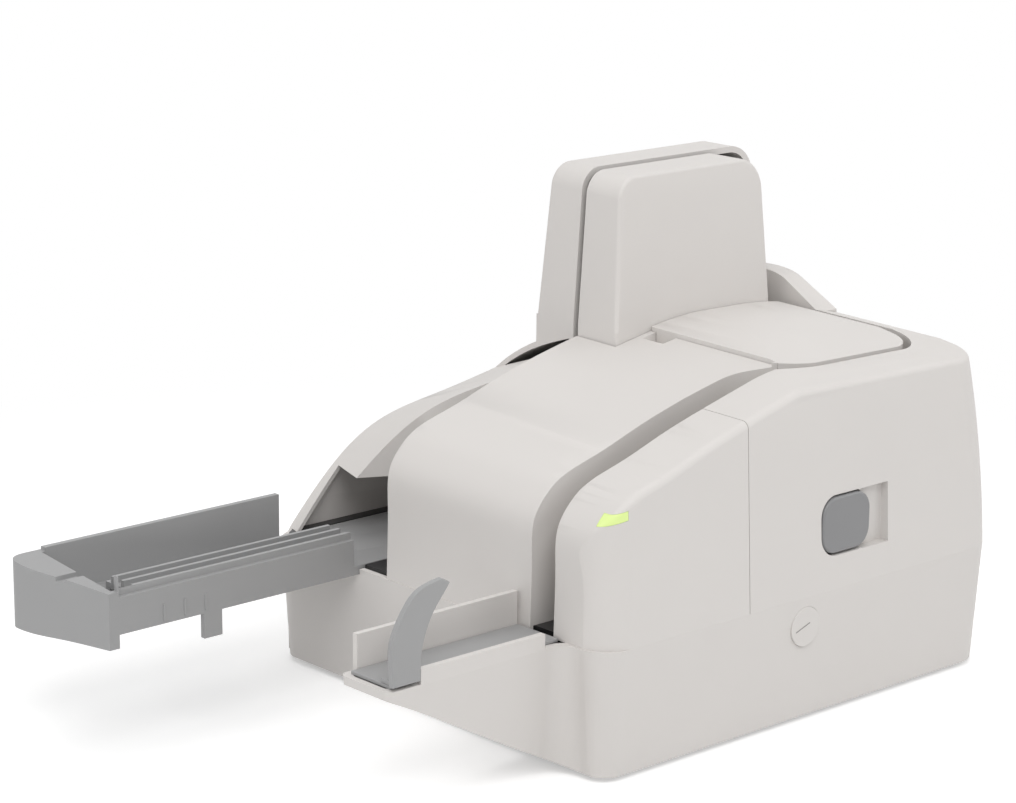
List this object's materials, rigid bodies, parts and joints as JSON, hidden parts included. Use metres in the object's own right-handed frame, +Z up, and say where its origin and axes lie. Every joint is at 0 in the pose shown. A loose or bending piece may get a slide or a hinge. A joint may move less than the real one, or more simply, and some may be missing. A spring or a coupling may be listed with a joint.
{
  "type": "cheque scanner",
  "caption": "Desktop cheque scanner with a feed slot that turns round a tall scanning tower into an eject pocket, a hinged front cover with a pull lever, and a sliding tray.",
  "frame": {"origin": "middle of the bounding box seen from above, at the table", "axes": "+X along the feed run towards the U-turn, +Y from the front cover to the rear, +Z up"},
  "size_m": [0.3334, 0.188, 0.1902],
  "materials": {
    "casing_plastic": "fine-textured light warm grey",
    "tray_plastic": "fine-textured mid grey",
    "lever_plastic": "fine-textured mid grey",
    "light_pipe": "translucent, lit pale yellow-green",
    "guide_clear": "smooth off-white",
    "track_plastic": "smooth black",
    "roller_rubber": "matt black",
    "foot_rubber": "matt dark grey",
    "shaft_steel": "ground",
    "screw_steel": "plated",
    "sensor_glass": "clear",
    "sensor_body": "satin black",
    "board": "green laminate",
    "motor_can": "plated",
    "bush_brass": "sintered"
  },
  "bodies": {
    "casing": {"base_casing": "casing_plastic", "button_spring": "shaft_steel", "button_switch": "track_plastic", "centre_cover": "casing_plastic", "cover_screws": "screw_steel", "deck_screws": "screw_steel", "drive_belt": "roller_rubber", "exit_pinch_axle": "shaft_steel", "feed_corner_cover": "casing_plastic", "feed_floor": "tray_plastic", "feed_guide": "guide_clear", "front_guide_plate": "track_plastic", "front_image_sensor": "sensor_body", "front_sensor_glass": "sensor_glass", "front_sensor_housing": "casing_plastic", "hinge_pin": "shaft_steel", "light_board": "board", "main_board": "board", "motor": "motor_can", "path_cover": "casing_plastic", "power_socket": "sensor_body", "rear_cover": "casing_plastic", "rear_guide_plate": "track_plastic", "rear_image_sensor": "sensor_body", "rear_sensor_glass": "sensor_glass", "rubber_feet": "foot_rubber", "shaft_bushes": "bush_brass", "status_light": "light_pipe", "track_deck": "track_plastic", "usb_socket": "motor_can"},
    "cover": {"front_cover": "casing_plastic", "lever_pin": "shaft_steel", "pinch_axles": "shaft_steel", "magnetic_head": "motor_can"},
    "lever": {"open_lever": "lever_plastic"},
    "latch": {"latch_bar": "lever_plastic"},
    "feed_drive": {"feed_roller": "sensor_body", "feed_tyres": "roller_rubber"},
    "transport_drive": {"transport_roller": "sensor_body", "transport_tyres": "roller_rubber"},
    "exit_drive": {"exit_roller": "sensor_body", "exit_tyres": "roller_rubber"},
    "pick_drive": {"pick_roller": "sensor_body", "pick_tyre": "roller_rubber"},
    "motor_shaft": {"motor_pulley": "bush_brass"},
    "feed_pinch": {"feed_pinch_roller": "guide_clear"},
    "transport_pinch": {"transport_pinch_roller": "guide_clear"},
    "exit_pinch": {"exit_pinch_roller": "guide_clear"},
    "button": {"power_button": "casing_plastic"},
    "tray": {"eject_tray": "tray_plastic"}
  },
  "joints": [
    {"name": "cover_swing", "type": "hinge", "parent": "casing", "child": "cover", "pos_m": [0.1632, -0.0145, 0.062], "axis": [0, 0, 1], "range_deg": [0, 60]},
    {"name": "lever_turn", "type": "hinge", "parent": "cover", "child": "lever", "pos_m": [0.0685, -0.0908, 0.0726], "axis": [0, 0, -1], "range_deg": [0, 30]},
    {"name": "latch_slide", "type": "slide", "parent": "cover", "child": "latch", "axis": [1, 0, 0], "range_m": [0, 0.0049], "stiffness_N_per_m": 400},
    {"name": "tray_slide", "type": "slide", "parent": "casing", "child": "tray", "axis": [1, 0, 0], "range_m": [0, 0.055]},
    {"name": "button_press", "type": "slide", "parent": "casing", "child": "button", "axis": [0, 1, 0], "range_m": [0, 0.0015], "stiffness_N_per_m": 400},
    {"name": "motor_spin", "type": "hinge", "parent": "casing", "child": "motor_shaft", "pos_m": [0.1057, -0.016, 0.043], "axis": [0, 0, 1], "continuous": true},
    {"name": "pick_spin", "type": "hinge", "parent": "casing", "child": "pick_drive", "pos_m": [0.0397, -0.05, 0.072], "axis": [0, 0, 1], "continuous": true},
    {"name": "feed_spin", "type": "hinge", "parent": "casing", "child": "feed_drive", "pos_m": [0.0937, -0.06335, 0.081], "axis": [0, 0, 1], "continuous": true},
    {"name": "transport_spin", "type": "hinge", "parent": "casing", "child": "transport_drive", "pos_m": [0.1217, -0.06335, 0.081], "axis": [0, 0, 1], "continuous": true},
    {"name": "exit_spin", "type": "hinge", "parent": "casing", "child": "exit_drive", "pos_m": [0.0642, 0.01515, 0.081], "axis": [0, 0, 1], "continuous": true},
    {"name": "feed_pinch_spin", "type": "hinge", "parent": "cover", "child": "feed_pinch", "pos_m": [0.0937, -0.07665, 0.081], "axis": [0, 0, 1], "continuous": true},
    {"name": "transport_pinch_spin", "type": "hinge", "parent": "cover", "child": "transport_pinch", "pos_m": [0.1217, -0.07665, 0.081], "axis": [0, 0, 1], "continuous": true},
    {"name": "exit_pinch_spin", "type": "hinge", "parent": "casing", "child": "exit_pinch", "pos_m": [0.0642, 0.02845, 0.081], "axis": [0, 0, 1], "continuous": true}
  ],
  "couplings": [
    {"joint": "lever_turn", "follows": "latch_slide", "rad_per_m": 106.8},
    {"joint": "pick_spin", "follows": "motor_spin", "ratio": 1},
    {"joint": "feed_spin", "follows": "motor_spin", "ratio": 1},
    {"joint": "transport_spin", "follows": "motor_spin", "ratio": 1},
    {"joint": "exit_spin", "follows": "motor_spin", "ratio": 1},
    {"joint": "feed_pinch_spin", "follows": "motor_spin", "ratio": -1.6},
    {"joint": "transport_pinch_spin", "follows": "motor_spin", "ratio": -1.6},
    {"joint": "exit_pinch_spin", "follows": "motor_spin", "ratio": -1.6}
  ]
}
